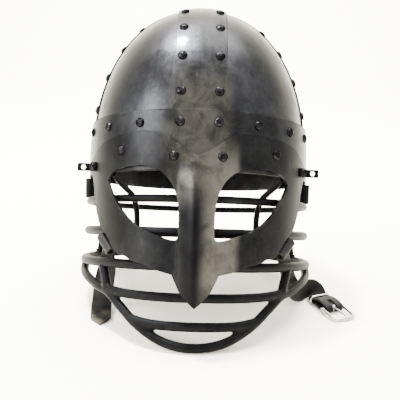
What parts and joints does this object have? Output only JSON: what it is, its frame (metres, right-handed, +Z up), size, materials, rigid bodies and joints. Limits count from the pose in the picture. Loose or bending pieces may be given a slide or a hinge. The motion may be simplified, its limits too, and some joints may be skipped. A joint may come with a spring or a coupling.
{
  "type": "norse iron helmet",
  "caption": "Riveted frame helmet in iron with a spectacle visor and nasal, a guard of round bars, and an open chin strap with a buckle.",
  "frame": {"origin": "bottom centre of the overall box, on the surface that the helmet stands on", "axes": "+Z up; the face looks towards -Y; +X to the right of someone who looks at the face. Left and right in node names are as seen from the front."},
  "size_m": [0.2522, 0.287, 0.2642],
  "materials": {
    "steel": "darkened and oiled, brushed up and down",
    "bars": "blackened, satin",
    "rivets": "darkened, smooth domes",
    "leather": "black, worn at the edges",
    "nickel": "bright, lightly scratched"
  },
  "bodies": {
    "helmet": {"skull_plate_front_left": "steel", "skull_plate_front_right": "steel", "skull_plate_back_left": "steel", "skull_plate_back_right": "steel", "crest_band": "steel", "side_band_left": "steel", "side_band_right": "steel", "brow_band": "steel", "visor": "steel", "crest_rivet_left_1": "rivets", "crest_rivet_left_2": "rivets", "crest_rivet_left_3": "rivets", "crest_rivet_left_4": "rivets", "crest_rivet_left_5": "rivets", "crest_rivet_right_1": "rivets", "crest_rivet_right_2": "rivets", "crest_rivet_right_3": "rivets", "crest_rivet_right_4": "rivets", "crest_rivet_right_5": "rivets", "brow_rivet_left_1": "rivets", "brow_rivet_left_2": "rivets", "brow_rivet_left_3": "rivets", "brow_rivet_right_1": "rivets", "brow_rivet_right_2": "rivets", "brow_rivet_right_3": "rivets", "visor_rivet_left_1": "rivets", "visor_rivet_left_2": "rivets", "visor_rivet_right_1": "rivets", "visor_rivet_right_2": "rivets", "tab_rivet_left": "rivets", "tab_rivet_right": "rivets", "ear_tab_left": "steel", "ear_tab_right": "steel", "eye_ring": "bars", "middle_ring": "bars", "lower_ring": "bars", "chin_guard": "bars", "rear_post_left_upper": "bars", "rear_post_left_lower": "bars", "rear_post_right_upper": "bars", "rear_post_right_lower": "bars", "neck_bar_left": "bars", "neck_bar_right": "bars", "side_sleeve_left": "bars", "side_sleeve_right": "bars", "strap_roll_left": "leather", "strap_roll_right": "leather", "strap_left": "leather", "strap_right": "leather", "keeper_ring": "nickel"},
    "buckle": {"buckle_frame": "nickel"},
    "prong": {"buckle_prong": "nickel"}
  },
  "joints": [
    {"name": "buckle_hinge", "type": "hinge", "parent": "helmet", "child": "buckle", "pos_m": [0.10811, -0.05005, 0.00419], "axis": [-0.9063, -0.4226, 0], "range_deg": [0, 45]},
    {"name": "prong_hinge", "type": "hinge", "parent": "buckle", "child": "prong", "pos_m": [0.10811, -0.05005, 0.00419], "axis": [-0.9063, -0.4226, 0], "range_deg": [0, 75]}
  ]
}
